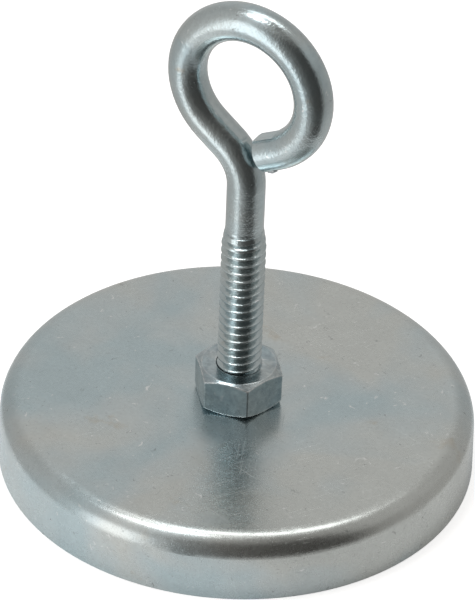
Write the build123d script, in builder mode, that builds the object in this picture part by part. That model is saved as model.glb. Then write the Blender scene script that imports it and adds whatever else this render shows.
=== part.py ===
from build123d import *
from math import atan, cos, degrees, floor, radians, sin, tan
import os

os.makedirs("parts", exist_ok=True)

# A pot magnet for fishing ferrous scrap out of water: a ring of ceramic magnet bonded into a
# drawn steel cup, with a bent-wire eye bolt through the middle of the cup. The eye bolt is
# held by a nut on top of the cup and by a thin nut with a lock washer in the magnet's bore.
# Millimetres and degrees. The origin is the centre of the working face, +Z runs up the
# bolt to the eye, and the eye lies in the XZ plane.

# Cup, drawn from 2 mm sheet
cup_diameter = 67.0
cup_height = 9.5
sheet = 2.0
wall_flare = 1.7
shoulder_radius = 3.0
rim_radius = 0.35
clearance_hole = 6.8

# Ceramic ring magnet and the resin that holds it
magnet_outside = 60.6
magnet_bore = 24.0
magnet_recess = 0.2
magnet_edge = 0.4
resin_bed = 0.3
resin_recess = 0.9
resin_bead = 0.9

# Thread, 1/4-20 UNC, with a running clearance between bolt and nut
pitch = 1.27
major_diameter = 6.2
pitch_diameter = 5.4
root_diameter = 4.68
nut_pitch_diameter = 5.64
nut_minor_diameter = 5.2
nut_root_diameter = 6.44
flank_angle = 30.0
groove_overshoot = 0.1
groove_top = 35.25
runout_turns = 3.0

# Bolt and eye, bent from one piece of wire. The full thread ends at thread_end, and tapers down
# to the wire over thread_fade.
wire_diameter = 5.3
bolt_tip = 1.0
bolt_tip_chamfer = 0.7
thread_end = 35.2
thread_fade = 2.7
eye_inside = 14.0
eye_height = 60.4
neck_turn = 53.5
neck_radius = 7.3
eye_end_angle = -62.0
eye_end_straight = 2.5
eye_end_edge = 0.2
pinch_depth = 0.3
pinch_length = 3.4
pinch_ramp = 2.0

# Nuts and lock washer
across_flats = 11.11
nut_thickness = 5.56
thin_nut_thickness = 3.97
nut_countersink = 0.65
nut_crown = 0.94
nut_corner_radius = 0.25
nut_corner_angle = 30.0
crown_margin = 0.01
nut_seam = 100.0
nut_bar_diameter = 14.0
nut_bar_bottom = -0.5
nut_bar_length = 18.06
nut_bar_lead_turns = 2.5
nut_bar_spare_turns = 3.25
top_nut_turn = 11.5
thin_nut_turn = 25.0
washer_inside = 6.5
washer_outside = 12.4
washer_thickness = 1.57
washer_gap = 0.8
washer_gap_lean = 25.0

cup_radius = cup_diameter / 2
cup_floor = cup_height - sheet
thin_nut_bottom = cup_floor - washer_thickness - thin_nut_thickness
wire_radius = wire_diameter / 2


def wall_radius(height, inset=0.0):
    """Radius of the cup's flared wall at a height above the rim, measured in from the outside."""
    return cup_radius - inset - height * tan(radians(wall_flare))


# Steel cup: floor, shoulder and flared wall in one revolved section, with its centre hole
with BuildPart() as steel_cup:
    with BuildSketch(Plane.XZ) as cup_section:
        with BuildLine():
            Polyline(
                (clearance_hole / 2, cup_floor),
                (clearance_hole / 2, cup_height),
                (wall_radius(cup_height), cup_height),
                (cup_radius, 0),
                (wall_radius(0, sheet), 0),
                (wall_radius(cup_floor, sheet), cup_floor),
                close=True,
            )
        make_face()
        corners = cup_section.vertices().sort_by(Axis.X)
        shoulder = corners.filter_by_position(Axis.Y, cup_height, cup_height)[-1]
        inner_corner = corners.filter_by_position(Axis.Y, cup_floor, cup_floor)[-1]
        rim_corners = corners.filter_by_position(Axis.Y, 0, 0)
        fillet(shoulder, radius=shoulder_radius)
        fillet(inner_corner, radius=shoulder_radius - sheet)
        fillet(rim_corners, radius=rim_radius)
    revolve(axis=Axis.Z)
steel_cup.part.label = "steel_cup"
export_step(steel_cup.part, "parts/steel_cup.step")

# Ring magnet, seated on the resin, its face just inside the rim
magnet_top = cup_floor - resin_bed
with BuildPart() as ring_magnet:
    with BuildSketch(Plane.XY.offset(magnet_recess)):
        Circle(magnet_outside / 2)
        Circle(magnet_bore / 2, mode=Mode.SUBTRACT)
    extrude(amount=magnet_top - magnet_recess)
    chamfer(ring_magnet.edges(), length=magnet_edge)
ring_magnet.part.label = "ring_magnet"
export_step(ring_magnet.part, "parts/ring_magnet.step")

# Resin bed under the magnet, up the gap round it, and a bead squeezed out into its bore
resin_edge = magnet_recess + resin_recess
with BuildPart() as resin_bond:
    with BuildSketch(Plane.XZ) as resin_section:
        with BuildLine():
            Polyline(
                (magnet_bore / 2 - resin_bead, cup_floor),
                (wall_radius(cup_floor, sheet), cup_floor),
                (wall_radius(resin_edge, sheet), resin_edge),
                (magnet_outside / 2, resin_edge),
                (magnet_outside / 2, magnet_top - magnet_edge),
                (magnet_outside / 2 - magnet_edge, magnet_top),
                (magnet_bore / 2, magnet_top),
                (magnet_bore / 2, magnet_top - magnet_edge),
                close=True,
            )
        make_face()
        resin_corners = resin_section.vertices().sort_by(Axis.X)
        floor_corner = resin_corners.filter_by_position(Axis.Y, cup_floor, cup_floor)[-1]
        fillet(floor_corner, radius=shoulder_radius - sheet)
    revolve(axis=Axis.Z)
resin_bond.part.label = "resin_bond"
export_step(resin_bond.part, "parts/resin_bond.step")


def groove_half_width(radius):
    """Half the width of the bolt's thread groove at a radius."""
    return pitch / 4 + (radius - pitch_diameter / 2) * tan(radians(flank_angle))


def nut_groove_half_width(radius):
    """Half the width of the nut's thread groove at a radius: it narrows outwards."""
    return pitch / 4 - (radius - nut_pitch_diameter / 2) * tan(radians(flank_angle))


def groove_sketch(height, helix_radius, inner, outer, half_width):
    """Thread groove section on the +X side, square to the XZ plane's radius."""
    plane = Plane(origin=(helix_radius, 0, height), x_dir=(1, 0, 0), z_dir=(0, -1, 0))
    with BuildSketch(plane) as section:
        with BuildLine():
            Polyline(
                (inner - helix_radius, -half_width(inner)),
                (outer - helix_radius, -half_width(outer)),
                (outer - helix_radius, half_width(outer)),
                (inner - helix_radius, half_width(inner)),
                close=True,
            )
        make_face()
    return section.sketch


# The bolt's groove starts on +X a little below the tip and makes whole turns up to groove_top
bolt_groove_turns = floor((groove_top - bolt_tip) / pitch) + 1
bolt_groove_start = groove_top - bolt_groove_turns * pitch
bolt_root = root_diameter / 2
bolt_groove_outer = major_diameter / 2 + groove_overshoot
helix_radius = pitch_diameter / 2

# Eye: the wire leans out of the shank, runs straight, loops over the top and comes back
eye_radius = (eye_inside + wire_diameter) / 2
lean_x = eye_radius * cos(radians(neck_turn)) - neck_radius * (1 - cos(radians(neck_turn)))
lean_length = lean_x / sin(radians(neck_turn))
neck_rise = (eye_radius + neck_radius) * sin(radians(neck_turn))
neck_start = eye_height - neck_rise - lean_length * cos(radians(neck_turn))
loop_turn = 180 + neck_turn - eye_end_angle
shank_start = thread_end + thread_fade

with BuildPart() as eye_bolt:
    # Threaded length, its tip chamfered and its top fading into the thinner wire
    with BuildSketch(Plane.XZ):
        with BuildLine():
            Polyline(
                (0, bolt_tip),
                (major_diameter / 2 - bolt_tip_chamfer, bolt_tip),
                (major_diameter / 2, bolt_tip + bolt_tip_chamfer),
                (major_diameter / 2, thread_end),
                (wire_radius, shank_start),
                (0, shank_start),
                close=True,
            )
        make_face()
    revolve(axis=Axis.Z)
    groove = groove_sketch(
        bolt_groove_start, helix_radius, bolt_root, bolt_groove_outer, groove_half_width
    )
    with BuildLine() as groove_path:
        Helix(
            pitch,
            bolt_groove_turns * pitch,
            helix_radius,
            center=(0, 0, bolt_groove_start),
        )
    sweep(groove, path=groove_path.line, is_frenet=True, mode=Mode.SUBTRACT)
    # Run-out: above groove_top the groove climbs out of the bolt on a cone
    runout = groove_sketch(
        groove_top, helix_radius, bolt_root, bolt_groove_outer, groove_half_width
    )
    runout_climb = wire_radius + groove_overshoot - bolt_root
    with BuildLine() as runout_path:
        Helix(
            pitch,
            runout_turns * pitch,
            helix_radius,
            center=(0, 0, groove_top),
            cone_angle=degrees(atan(runout_climb / (runout_turns * pitch))),
        )
    sweep(runout, path=runout_path.line, is_frenet=True, mode=Mode.SUBTRACT)
    # Shank, neck and eye
    with BuildLine(Plane.XZ) as wire_path:
        shank = Line((0, shank_start), (0, neck_start))
        neck = JernArc(shank @ 1, shank % 1, neck_radius, neck_turn)
        lean = PolarLine(neck @ 1, lean_length, direction=neck % 1)
        loop = JernArc(lean @ 1, lean % 1, eye_radius, -loop_turn)
        eye_end = PolarLine(loop @ 1, eye_end_straight, direction=loop % 1)
    with BuildSketch(Plane.XY.offset(shank_start)):
        Circle(wire_radius)
    sweep(path=wire_path.line)
    end_plane = Plane(origin=eye_end @ 1, x_dir=(0, 1, 0), z_dir=eye_end % 1)
    end_edge = eye_bolt.edges().sort_by(lambda edge: abs(end_plane.to_local_coords(edge.center()).Z))[0]
    chamfer(end_edge, length=eye_end_edge)
    # Flat left on the inside of the eye's end by the bending pin
    pinch_plane = Plane(origin=eye_end @ 1, x_dir=-(eye_end % 1), z_dir=(0, -1, 0))
    with BuildSketch(pinch_plane):
        with BuildLine():
            Polyline(
                (-pinch_ramp, wire_radius - pinch_depth),
                (pinch_length, wire_radius - pinch_depth),
                (pinch_length + pinch_ramp, wire_radius + pinch_ramp / 2),
                (-pinch_ramp, wire_radius + pinch_ramp / 2),
                close=True,
            )
        make_face()
    extrude(amount=wire_radius, both=True, mode=Mode.SUBTRACT)
eye_bolt.part.label = "eye_bolt"
export_step(eye_bolt.part, "parts/eye_bolt.step")


# Vertical plane that the nuts' round faces start from, clear of where the thread starts
seam_plane = Plane(
    origin=(0, 0, 0),
    x_dir=(cos(radians(nut_seam)), sin(radians(nut_seam)), 0),
    z_dir=(sin(radians(nut_seam)), -cos(radians(nut_seam)), 0),
)
# The nut's groove follows the bolt's ridge, half a pitch from the bolt's groove
bar_groove_turns = floor(nut_bar_length / pitch) + nut_bar_spare_turns
bar_groove_start = bolt_groove_start - nut_bar_lead_turns * pitch
bar_groove = groove_sketch(
    bar_groove_start,
    nut_pitch_diameter / 2,
    nut_minor_diameter / 2 - groove_overshoot,
    nut_root_diameter / 2,
    nut_groove_half_width,
)

# Threaded bar that both nuts are cut from, so that both are in mesh with the bolt
with BuildPart(mode=Mode.PRIVATE) as threaded_bar:
    with BuildSketch(Plane.XY.offset(nut_bar_bottom).rotated((0, 0, nut_seam))):
        Circle(nut_bar_diameter / 2)
        Circle(nut_minor_diameter / 2, mode=Mode.SUBTRACT)
    extrude(amount=nut_bar_length)
    with BuildLine() as bar_groove_path:
        Helix(
            pitch,
            bar_groove_turns * pitch,
            nut_pitch_diameter / 2,
            center=(0, 0, bar_groove_start),
        )
    sweep(bar_groove, path=bar_groove_path.line, is_frenet=True, mode=Mode.SUBTRACT)


def threaded_nut(bottom, thickness, turn):
    """Hexagon nut with chamfered corners and a real thread in mesh with the bolt's."""
    top = bottom + thickness
    corner_radius = across_flats / 2 / cos(radians(30))
    crown_radius = across_flats / 2 * nut_crown
    crown_drop = (corner_radius - crown_radius) * tan(radians(nut_corner_angle))
    bore_radius = nut_minor_diameter / 2
    with BuildPart() as nut:
        with BuildSketch(Plane.XY.offset(bottom)):
            RegularPolygon(across_flats / 2, 6, major_radius=False, rotation=turn)
        extrude(amount=thickness)
        fillet(nut.edges().filter_by(Axis.Z), radius=nut_corner_radius)
        # Corners chamfered on both faces
        with BuildSketch(seam_plane):
            with BuildLine():
                Polyline(
                    (0, bottom),
                    (crown_radius, bottom),
                    (corner_radius + crown_margin, bottom + crown_drop),
                    (corner_radius + crown_margin, top - crown_drop),
                    (crown_radius, top),
                    (0, top),
                    close=True,
                )
            make_face()
        revolve(axis=Axis.Z, mode=Mode.INTERSECT)
        add(threaded_bar.part, mode=Mode.INTERSECT)
        # Both mouths of the bore countersunk
        for face, inward in ((bottom, 1), (top, -1)):
            with BuildSketch(seam_plane):
                with BuildLine():
                    Polyline(
                        (0, face),
                        (bore_radius + nut_countersink, face),
                        (bore_radius - nut_countersink, face + inward * 2 * nut_countersink),
                        (0, face + inward * 2 * nut_countersink),
                        close=True,
                    )
                make_face()
            revolve(axis=Axis.Z, mode=Mode.SUBTRACT)
    return nut.part


nuts = {
    "top_nut": (cup_height, nut_thickness, top_nut_turn),
    "thin_nut": (thin_nut_bottom, thin_nut_thickness, thin_nut_turn),
}
for nut_name, (nut_bottom, thickness, turn) in nuts.items():
    nut_part = threaded_nut(nut_bottom, thickness, turn)
    nut_part.label = nut_name
    export_step(nut_part, f"parts/{nut_name}.step")

# Split lock washer, pressed flat between the cup's floor and the thin nut
with BuildPart() as lock_washer:
    with BuildSketch(Plane.XY.offset(cup_floor - washer_thickness)):
        Circle(washer_outside / 2)
        Circle(washer_inside / 2, mode=Mode.SUBTRACT)
    extrude(amount=washer_thickness)
    split_plane = Plane(
        origin=((washer_inside + washer_outside) / 4, 0, cup_floor - washer_thickness / 2),
        x_dir=(0, 1, 0),
        z_dir=(1, 0, 0),
    ).rotated((0, 0, washer_gap_lean))
    with BuildSketch(split_plane):
        Rectangle(washer_gap, 3 * washer_thickness)
    extrude(amount=washer_outside / 4, both=True, mode=Mode.SUBTRACT)
lock_washer.part.label = "lock_washer"
export_step(lock_washer.part, "parts/lock_washer.step")
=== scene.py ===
import math

import bmesh
import bpy
from mathutils import Matrix, Vector, noise


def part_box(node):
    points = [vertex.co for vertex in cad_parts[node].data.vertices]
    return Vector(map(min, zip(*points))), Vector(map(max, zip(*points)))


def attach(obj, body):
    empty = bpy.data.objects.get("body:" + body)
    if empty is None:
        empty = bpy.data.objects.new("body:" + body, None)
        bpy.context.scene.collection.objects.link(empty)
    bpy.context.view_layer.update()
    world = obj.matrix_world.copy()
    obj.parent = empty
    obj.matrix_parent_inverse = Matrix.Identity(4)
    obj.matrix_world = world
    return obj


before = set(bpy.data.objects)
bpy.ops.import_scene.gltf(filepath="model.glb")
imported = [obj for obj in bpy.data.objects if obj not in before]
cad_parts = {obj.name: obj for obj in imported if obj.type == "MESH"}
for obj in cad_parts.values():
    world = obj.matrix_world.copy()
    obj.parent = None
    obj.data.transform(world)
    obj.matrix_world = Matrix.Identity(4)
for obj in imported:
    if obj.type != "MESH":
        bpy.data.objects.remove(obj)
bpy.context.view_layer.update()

# ---------------------------------------------------------------- settings

# Camera: angles in degrees turned into radians, distances in metres, lens in millimetres
CAMERA_AZIMUTH = math.radians(28.9)
CAMERA_ELEVATION = math.radians(35.35)
CAMERA_ROLL = math.radians(2.29)
CAMERA_DISTANCE = 0.55
FOCAL_LENGTH = 239.6
SENSOR_WIDTH = 36
CLIP_START = 0.01
CLIP_END = 20
AIM_HEIGHT = 0.025602
AIM_RIGHT = -0.000566

# Floor: its own glow, radius and colour, the radius of the hole under the cup, and the radii
# between which polished metal starts to see through it
FLOOR_GLOW = 0.6
FLOOR_RADIUS = 4
FLOOR_WHITE = (0.9, 0.9, 0.9, 1)
UNDER_CUP = 0.0332
SEEN_TO = 0.044
UNSEEN_FROM = 0.052

# Studio surround: elevations in degrees between which one band gives way to the next
LOW_BAND = (-35, -24)
MIDDLE_BAND = (16, 30)
HIGH_BAND = (42, 62)
WARMTH_OF_SHADE = 0.06
LAMP_DISTANCE = 0.9

# Burr under the cut end of the eye's wire
WIRE_RADIUS = 0.00265
EYE_END_ANGLE = -62
BURR_FROM_BEND = 0.0013
BURR_LEAN = -0.42
BURR_SIZE = (0.0007, 0.0004, 0.00028)
BURR_SWELL = 0.35
BURR_LUMPS = 1.7
BURR_PHASE = Vector((4, 1, 2))

# Plating colours: patches, marks, and the worn nut's flats
COOL = (0.53, 0.635, 0.665)
LIGHT = (0.60, 0.665, 0.675)
WARM = (0.64, 0.67, 0.65)
PIT = (0.22, 0.23, 0.23)
PALE = (0.85, 0.87, 0.87)
STAIN = (0.50, 0.44, 0.34)
DULL = (0.42, 0.47, 0.52)
DULL_LIGHT = (0.85, 0.88, 0.90)

# Metal scratches run in these directions, in radians
SCRATCH_ANGLES = (0.4, 1.3, -0.6)

# Each plated piece's material: see zinc()
PLATING = {
    "steel_cup": dict(
        name="zinc_cup", gloss=0.265, patch=20, grain=(0.25, 0.005), peel=(2.4, 0.02),
        edge=0.1, specks=0.085, scratch=0.055,
    ),
    "eye_bolt": dict(
        name="zinc_wire", gloss=0.13, patch=9, grain=(0.30, 0.034), peel=(1.3, 0.04),
        edge=0.05, specks=0.085, scratch=0.02, blue=0.5,
    ),
    "top_nut": dict(
        name="zinc_nut", gloss=0.20, patch=6, grain=(0.22, 0.012), peel=(1.8, 0.03),
        edge=0.2, specks=0.08, scratch=0.05, blue=0.3, wear=0.6,
    ),
    "thin_nut": dict(
        name="zinc_thin_nut", gloss=0.22, patch=6, grain=(0.22, 0.012), peel=(1.8, 0.03),
        edge=0.2, specks=0.08, scratch=0.05,
    ),
    "lock_washer": dict(
        name="zinc_washer", gloss=0.26, patch=5, grain=(0.22, 0.012), peel=(1.5, 0.03),
        edge=0.12, specks=0.08, scratch=0.05,
    ),
}


# ---------------------------------------------------------------- camera

view_back = Vector((
    math.sin(CAMERA_AZIMUTH) * math.cos(CAMERA_ELEVATION),
    -math.cos(CAMERA_AZIMUTH) * math.cos(CAMERA_ELEVATION),
    math.sin(CAMERA_ELEVATION),
))
view_right = Vector((math.cos(CAMERA_AZIMUTH), math.sin(CAMERA_AZIMUTH), 0))
to_viewer = Vector((view_back.x, view_back.y, 0)).normalized()


def make_camera():
    """Long lens from the front right and well above, with a small roll."""
    data = bpy.data.cameras.new("camera")
    data.lens = FOCAL_LENGTH
    data.sensor_width = SENSOR_WIDTH
    data.clip_start = CLIP_START
    data.clip_end = CLIP_END
    camera = bpy.data.objects.new("camera", data)
    bpy.context.collection.objects.link(camera)
    up = view_back.cross(view_right)
    turn = Matrix.Rotation(CAMERA_ROLL, 3, view_back)
    right, up = turn @ view_right, turn @ up
    aim = view_right * AIM_RIGHT + Vector((0, 0, AIM_HEIGHT))
    place = Matrix((right, up, view_back)).transposed().to_4x4()
    place.translation = aim + view_back * CAMERA_DISTANCE
    camera.matrix_world = place
    bpy.context.scene.camera = camera


def direction(azimuth, elevation):
    """Unit vector from the object: azimuth in degrees to the right of the viewer's side."""
    a, e = math.radians(azimuth), math.radians(elevation)
    level = to_viewer * math.cos(a) + view_right * math.sin(a)
    return level * math.cos(e) + Vector((0, 0, math.sin(e)))


# ---------------------------------------------------------------- shader nodes

class Nodes:
    """A new material, with short names for the shader nodes that the materials share."""

    def __init__(self, name):
        self.material = bpy.data.materials.new(name)
        self.material.use_nodes = True
        self.tree = self.material.node_tree
        self.shader = self.tree.nodes["Principled BSDF"]
        self.place = self.add("ShaderNodeTexCoord").outputs["Object"]

    def add(self, kind, **settings):
        node = self.tree.nodes.new(kind)
        for key, value in settings.items():
            setattr(node, key, value)
        return node

    def link(self, source, target):
        self.tree.links.new(source, target)

    def along(self, angle, stretch):
        """Object coordinates drawn out along one direction in the plane of the cup."""
        mapping = self.add("ShaderNodeMapping", vector_type="TEXTURE")
        mapping.inputs["Rotation"].default_value = (0, 0, angle)
        mapping.inputs["Scale"].default_value = (1, stretch, 1)
        self.link(self.place, mapping.inputs["Vector"])
        return mapping.outputs["Vector"]

    def noise(self, size_mm, detail=3, roughness=0.55, place=None, distortion=0):
        """Noise whose blotches are about size_mm across, from 0 to 1."""
        node = self.add("ShaderNodeTexNoise")
        node.inputs["Scale"].default_value = 1000 / size_mm
        node.inputs["Detail"].default_value = detail
        node.inputs["Roughness"].default_value = roughness
        node.inputs["Distortion"].default_value = distortion
        self.link(place or self.place, node.inputs["Vector"])
        return node.outputs["Fac"]

    def ramp(self, value, *stops):
        node = self.add("ShaderNodeValToRGB")
        elements = node.color_ramp.elements
        while len(elements) < len(stops):
            elements.new(0.5)
        for element, (position, colour) in zip(elements, stops):
            element.position = position
            if not isinstance(colour, tuple):
                colour = (colour,) * 3
            element.color = (*colour, 1)
        self.link(value, node.inputs["Fac"])
        return node.outputs["Color"]

    def mix(self, factor, one, other, kind="MIX"):
        node = self.add("ShaderNodeMix", data_type="RGBA", blend_type=kind)
        if isinstance(factor, (int, float)):
            node.inputs["Factor"].default_value = factor
        else:
            self.link(factor, node.inputs["Factor"])
        for value, socket in ((one, node.inputs[6]), (other, node.inputs[7])):
            if isinstance(value, tuple):
                socket.default_value = (*value, 1)
            else:
                self.link(value, socket)
        return node.outputs[2]

    def math(self, operation, one, other):
        node = self.add("ShaderNodeMath", operation=operation)
        for value, socket in ((one, node.inputs[0]), (other, node.inputs[1])):
            if isinstance(value, (int, float)):
                socket.default_value = value
            else:
                self.link(value, socket)
        return node.outputs["Value"]

    def spread(self, value, low, high):
        """Noise, most of which lies in 0.25..0.75, spread over low..high."""
        node = self.add("ShaderNodeMapRange")
        node.inputs["From Min"].default_value = 0.25
        node.inputs["From Max"].default_value = 0.75
        node.inputs["To Min"].default_value = low
        node.inputs["To Max"].default_value = high
        self.link(value, node.inputs["Value"])
        return node.outputs["Result"]

    def bump(self, height, depth_mm, under=None):
        node = self.add("ShaderNodeBump")
        node.inputs["Distance"].default_value = depth_mm / 1000
        self.link(height, node.inputs["Height"])
        if under is not None:
            self.link(under, node.inputs["Normal"])
        return node.outputs["Normal"]

    def specks(self, size_mm, share):
        """Scattered marks of uneven shape: 1 inside a mark. More share, more marks."""
        marks = self.noise(size_mm, detail=3, roughness=0.7, distortion=0.8)
        return self.ramp(marks, (0.74 - share, 0.0), (0.80 - share, 1.0))

    def scratches(self, width_mm, stretch, angles, share):
        """Fine straight scratches in a few directions, in patches."""
        total = None
        for number, angle in enumerate(angles):
            lines = self.noise(width_mm, detail=1, place=self.along(angle, stretch))
            lines = self.ramp(lines, (0.73 - share, 0.0), (0.76 - share, 1.0))
            where = self.noise(9 + 4 * number, detail=1)
            part = self.math("MULTIPLY", lines, self.ramp(where, (0.5, 0.0), (0.6, 1.0)))
            total = part if total is None else self.math("MAXIMUM", total, part)
        return total

    def edges(self, width_mm):
        """1 on sharp edges and corners, rubbed unevenly, and 0 on the flats."""
        bevel = self.add("ShaderNodeBevel", samples=6)
        bevel.inputs["Radius"].default_value = width_mm / 1000
        flat = self.add("ShaderNodeNewGeometry").outputs["Normal"]
        turn = self.add("ShaderNodeVectorMath", operation="DOT_PRODUCT")
        self.link(bevel.outputs["Normal"], turn.inputs[0])
        self.link(flat, turn.inputs[1])
        near = self.ramp(turn.outputs["Value"], (0.93, 1.0), (0.995, 0.0))
        rubbed = self.ramp(self.noise(0.8, detail=4), (0.35, 0.2), (0.6, 1.0))
        return self.math("MULTIPLY", near, rubbed)

    def rounded(self, radius_mm):
        """Normal with the sharp edges rounded off."""
        node = self.add("ShaderNodeBevel", samples=6)
        node.inputs["Radius"].default_value = radius_mm / 1000
        return node.outputs["Normal"]


# ---------------------------------------------------------------- studio

def azimuth_and_height(nodes, links, vector):
    """Sockets for the azimuth of a vector, 0.5 towards the viewer, and for its height."""
    level = []
    for axis in (view_right, to_viewer):
        dot = nodes.new("ShaderNodeVectorMath")
        dot.operation = "DOT_PRODUCT"
        dot.inputs[1].default_value = axis
        links.new(vector, dot.inputs[0])
        level.append(dot.outputs["Value"])
    angle = nodes.new("ShaderNodeMath")
    angle.operation = "ARCTAN2"
    links.new(level[0], angle.inputs[0])
    links.new(level[1], angle.inputs[1])
    azimuth = nodes.new("ShaderNodeMapRange")
    azimuth.inputs["From Min"].default_value = -math.pi
    azimuth.inputs["From Max"].default_value = math.pi
    links.new(angle.outputs["Value"], azimuth.inputs["Value"])
    height = nodes.new("ShaderNodeSeparateXYZ")
    links.new(vector, height.inputs["Vector"])
    return azimuth.outputs["Result"], height.outputs["Z"]


def around(nodes, links, azimuth, stops):
    """Brightness round the horizon, from (azimuth in degrees, brightness) stops."""
    ramp = nodes.new("ShaderNodeValToRGB")
    ramp.color_ramp.interpolation = "EASE"
    elements = ramp.color_ramp.elements
    while len(elements) < len(stops):
        elements.new(0.5)
    for element, (degrees, value) in zip(elements, stops):
        element.position = degrees / 360 + 0.5
        warmth = WARMTH_OF_SHADE * (1 - min(value, 1))
        element.color = (value * (1 + warmth), value, value * (1 - warmth), 1)
    links.new(azimuth, ramp.inputs["Fac"])
    return ramp.outputs["Color"]


def make_world():
    """Studio surround: a bright window front-left, a dark room front-right, pale elsewhere.

    The stops were first worked out from the photograph's tones, for the directions that the
    plating reflects there, and then adjusted.
    """
    world = bpy.data.worlds.new("studio")
    bpy.context.scene.world = world
    world.use_nodes = True
    nodes, links = world.node_tree.nodes, world.node_tree.links
    background = nodes["Background"]
    place = nodes.new("ShaderNodeTexCoord")
    azimuth, height = azimuth_and_height(nodes, links, place.outputs["Generated"])
    under = around(nodes, links, azimuth, (
        (-180, 0.50), (-120, 0.50), (-70, 0.60), (-43, 1.00), (-31, 0.38), (-19, 0.50),
        (-8, 0.24), (8, 0.13), (28, 0.08), (48, 0.12), (60, 0.42), (100, 0.52), (180, 0.50),
    ))
    low = around(nodes, links, azimuth, (
        (-180, 0.58), (-130, 0.47), (-95, 0.54), (-71, 0.66), (-59, 1.75), (-45, 1.75),
        (-33, 0.42), (-16, 0.18), (12, 0.08), (52, 0.06), (66, 0.34), (90, 0.42), (145, 0.44),
        (180, 0.58),
    ))
    middle = around(nodes, links, azimuth, (
        (-180, 0.58), (-130, 0.47), (-95, 0.54), (-71, 0.62), (-52, 0.80), (-33, 0.42),
        (-16, 0.18), (12, 0.08), (50, 0.07), (62, 0.45), (90, 0.50), (145, 0.44), (180, 0.58),
    ))
    high = around(nodes, links, azimuth, (
        (-180, 0.60), (-140, 0.52), (-105, 0.45), (-50, 0.95), (-28, 0.52), (-5, 0.30),
        (35, 0.20), (65, 0.38), (110, 0.50), (180, 0.60),
    ))
    bands = ((LOW_BAND, low), (MIDDLE_BAND, middle), (HIGH_BAND, high))
    for (start, end), above in bands:
        rise = nodes.new("ShaderNodeMapRange")
        rise.interpolation_type = "SMOOTHSTEP"
        rise.inputs["From Min"].default_value = math.sin(math.radians(start))
        rise.inputs["From Max"].default_value = math.sin(math.radians(end))
        links.new(height, rise.inputs["Value"])
        mix = nodes.new("ShaderNodeMix")
        mix.data_type = "RGBA"
        links.new(rise.outputs["Result"], mix.inputs["Factor"])
        links.new(under, mix.inputs[6])
        links.new(above, mix.inputs[7])
        under = mix.outputs[2]
    links.new(under, background.inputs["Color"])


def make_floor():
    """White floor, evenly bright to the camera. Polished metal sees only the part of it that
    lies round the object, and there it sees a painted reflection: a glow that only reflections
    show, brightest towards the front left.

    It is open where the cup covers it, so that the working face shows from below.
    """
    bpy.ops.mesh.primitive_circle_add(vertices=96, radius=FLOOR_RADIUS, fill_type="NGON")
    floor = bpy.context.object
    floor.name = "floor"
    n = Nodes("floor_paper")
    n.shader.inputs["Roughness"].default_value = 0.9
    n.shader.inputs["Specular IOR Level"].default_value = 0.1
    n.shader.inputs["Base Color"].default_value = FLOOR_WHITE
    n.shader.inputs["Emission Color"].default_value = (1, 1, 1, 1)
    path = n.add("ShaderNodeLightPath").outputs
    glow = n.math("MULTIPLY", path["Is Camera Ray"], FLOOR_GLOW)
    azimuth, _ = azimuth_and_height(n.tree.nodes, n.tree.links, n.place)
    # Painted reflection: the floor glows for reflected rays only, brightest front-left and
    # faint front-right, though no lamp is there
    painted_reflection_glow = around(n.tree.nodes, n.tree.links, azimuth, (
        (-180, 0.13), (-110, 0.17), (-50, 0.26), (-5, 0.18), (20, 0.06), (180, 0.09),
    ))
    seen = n.math("MULTIPLY", painted_reflection_glow, path["Is Glossy Ray"])
    n.link(n.math("ADD", glow, seen), n.shader.inputs["Emission Strength"])
    radius = n.add("ShaderNodeVectorMath", operation="LENGTH")
    n.link(n.place, radius.inputs[0])
    far = n.add("ShaderNodeMapRange")
    far.inputs["From Min"].default_value = SEEN_TO
    far.inputs["From Max"].default_value = UNSEEN_FROM
    n.link(radius.outputs["Value"], far.inputs["Value"])
    unseen = n.math("MULTIPLY", far.outputs["Result"], path["Is Glossy Ray"])
    hole = n.math("LESS_THAN", radius.outputs["Value"], UNDER_CUP)
    clear = n.add("ShaderNodeMixShader")
    n.link(n.math("MAXIMUM", unseen, hole), clear.inputs["Fac"])
    n.link(n.shader.outputs["BSDF"], clear.inputs[1])
    n.link(n.add("ShaderNodeBsdfTransparent").outputs["BSDF"], clear.inputs[2])
    n.link(clear.outputs["Shader"], n.tree.nodes["Material Output"].inputs["Surface"])
    floor.data.materials.append(n.material)


def softbox(name, azimuth, elevation, width, height, power):
    """Rectangular soft light that faces the object."""
    data = bpy.data.lights.new(name, "AREA")
    data.shape = "RECTANGLE"
    data.size, data.size_y = width, height
    data.energy = power
    lamp = bpy.data.objects.new(name, data)
    bpy.context.collection.objects.link(lamp)
    away = direction(azimuth, elevation)
    lamp.location = away * LAMP_DISTANCE
    lamp.rotation_mode = "QUATERNION"
    lamp.rotation_quaternion = away.to_track_quat("Z", "Y")


# ---------------------------------------------------------------- materials

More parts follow.
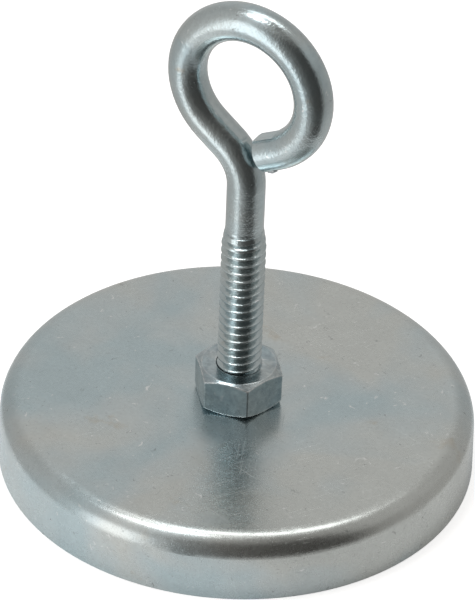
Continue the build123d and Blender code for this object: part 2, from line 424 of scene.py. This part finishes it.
def zinc(name, gloss, patch, grain, peel, edge, specks, scratch, blue=0.0, wear=0.0):
    """Blue-white zinc plating, with cool and warm patches, uneven gloss, specks and scratches.

    gloss is the roughness, patch the size of the colour patches in millimetres, and edge the
    radius that sharp edges are rounded to. grain and peel are (size, depth) of the fine and
    the broad unevenness, in millimetres. More blue, less of the pale and warm patches. More
    wear, darker flats and paler edges.
    """
    n = Nodes(name)
    n.shader.inputs["Metallic"].default_value = 1.0
    patches = n.noise(patch, detail=3, roughness=0.5, distortion=0.4)
    tint = n.ramp(patches, (0.38, COOL), (0.5, LIGHT), (0.62, WARM))
    tint = n.mix(blue, tint, COOL)
    blotches = n.noise(patch / 5, detail=5, roughness=0.65)
    tint = n.mix(0.35, tint, n.ramp(blotches, (0.3, 0.82), (0.7, 1.0)), "MULTIPLY")
    fine = n.noise(grain[0] * 2, detail=3)
    tint = n.mix(0.3, tint, n.ramp(fine, (0.3, 0.78), (0.7, 1.0)), "MULTIPLY")
    pits = n.specks(0.9, specks)
    tint = n.mix(n.math("MULTIPLY", pits, 0.55), tint, PIT)
    grains = n.specks(1.5, specks)
    tint = n.mix(n.math("MULTIPLY", grains, 0.75), tint, PALE)
    stains = n.noise(patch / 2.2, detail=4, roughness=0.7)
    tint = n.mix(n.ramp(stains, (0.64, 0.0), (0.76, 0.45)), tint, STAIN)
    if wear:
        dulled = n.ramp(blotches, (0.35, DULL), (0.65, DULL_LIGHT))
        flats = n.mix(wear, tint, dulled, "MULTIPLY")
        tint = n.mix(n.edges(0.45), flats, PALE)
    n.link(tint, n.shader.inputs["Base Color"])
    cloud = n.noise(patch / 3, detail=5, roughness=0.6)
    rough = n.spread(cloud, gloss - 0.04, gloss + 0.06)
    rough = n.math("ADD", rough, n.spread(fine, -0.03, 0.03))
    lines = n.scratches(0.16, 60, SCRATCH_ANGLES, scratch)
    rough = n.math("ADD", rough, n.math("MULTIPLY", lines, 0.12))
    n.link(n.math("ADD", rough, n.math("MULTIPLY", pits, 0.15)), n.shader.inputs["Roughness"])
    normal = n.bump(n.noise(peel[0], detail=2), peel[1], n.rounded(edge))
    normal = n.bump(n.noise(grain[0], detail=4, roughness=0.6), grain[1], normal)
    normal = n.bump(n.math("SUBTRACT", lines, pits), 0.004, normal)
    n.link(normal, n.shader.inputs["Normal"])
    return n.material


def ferrite():
    """Ground ceramic magnet: near-black, matt, with grinding lines and small chips."""
    n = Nodes("ferrite_grey")
    clouds = n.noise(7, detail=5, roughness=0.6)
    tint = n.ramp(clouds, (0.3, (0.030, 0.030, 0.033)), (0.7, (0.065, 0.065, 0.070)))
    grain = n.noise(0.35, detail=3)
    tint = n.mix(0.5, tint, n.ramp(grain, (0.35, 0.55), (0.65, 1.0)), "MULTIPLY")
    chips = n.specks(2.6, 0.04)
    tint = n.mix(n.math("MULTIPLY", chips, 0.5), tint, (0.12, 0.12, 0.125))
    n.link(tint, n.shader.inputs["Base Color"])
    lines = n.noise(0.3, detail=3, place=n.along(0.3, 50))
    n.link(n.spread(lines, 0.42, 0.62), n.shader.inputs["Roughness"])
    normal = n.bump(lines, 0.01, n.rounded(0.15))
    normal = n.bump(grain, 0.012, normal)
    n.link(n.bump(n.math("SUBTRACT", 1.0, chips), 0.05, normal), n.shader.inputs["Normal"])
    return n.material


def resin():
    """Cured amber resin, glossy, with clouds and a few trapped bubbles."""
    n = Nodes("resin_amber")
    clouds = n.noise(3, detail=4)
    tint = n.ramp(clouds, (0.3, (0.20, 0.14, 0.07)), (0.7, (0.36, 0.28, 0.16)))
    n.link(tint, n.shader.inputs["Base Color"])
    n.link(n.spread(clouds, 0.18, 0.32), n.shader.inputs["Roughness"])
    bubbles = n.specks(0.9, 0.08)
    sag = n.bump(n.noise(2.5, detail=2), 0.12)
    n.link(n.bump(n.math("SUBTRACT", 1.0, bubbles), 0.05, sag), n.shader.inputs["Normal"])
    n.shader.inputs["Coat Weight"].default_value = 0.4
    n.shader.inputs["Coat Roughness"].default_value = 0.1
    return n.material


def make_burr():
    """Small dag of zinc under the cut end of the eye's wire."""
    low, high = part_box("eye_bolt")
    reach = (high.x - low.x) / 2
    centre = Vector(((low.x + high.x) / 2, (low.y + high.y) / 2, high.z - reach))
    turn = math.radians(EYE_END_ANGLE)
    outward = Vector((math.cos(turn), 0, math.sin(turn)))
    along = Vector((math.sin(turn), 0, -math.cos(turn)))
    axis = centre + outward * (reach - WIRE_RADIUS) + along * BURR_FROM_BEND
    below = (outward + Vector((0, BURR_LEAN, 0))).normalized()
    mesh = bmesh.new()
    bmesh.ops.create_icosphere(mesh, subdivisions=4, radius=1)
    for vertex in mesh.verts:
        swell = 1 + BURR_SWELL * noise.noise(vertex.co * BURR_LUMPS + BURR_PHASE)
        place = vertex.co * swell
        vertex.co = (
            along * place.x * BURR_SIZE[0]
            + below.cross(along) * place.y * BURR_SIZE[1]
            + below * place.z * BURR_SIZE[2]
        )
    for face in mesh.faces:
        face.smooth = True
    data = bpy.data.meshes.new("eye_burr")
    mesh.to_mesh(data)
    mesh.free()
    burr = bpy.data.objects.new("eye_burr", data)
    bpy.context.collection.objects.link(burr)
    burr.location = axis + below * WIRE_RADIUS
    data.materials.append(bpy.data.materials["zinc_wire"])
    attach(burr, "bolt")


def dress(node, material):
    """Gives a CAD node its material."""
    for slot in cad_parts[node].material_slots:
        slot.material = material


make_camera()
make_world()
make_floor()
softbox("overhead_strip", 165, 74, 0.55, 0.22, 0.85)
softbox("key_light", -84, 74, 0.20, 0.26, 0.95)
bpy.context.scene.view_settings.view_transform = "Standard"

for plated, look in PLATING.items():
    dress(plated, zinc(**look))
dress("ring_magnet", ferrite())
dress("resin_bond", resin())
make_burr()
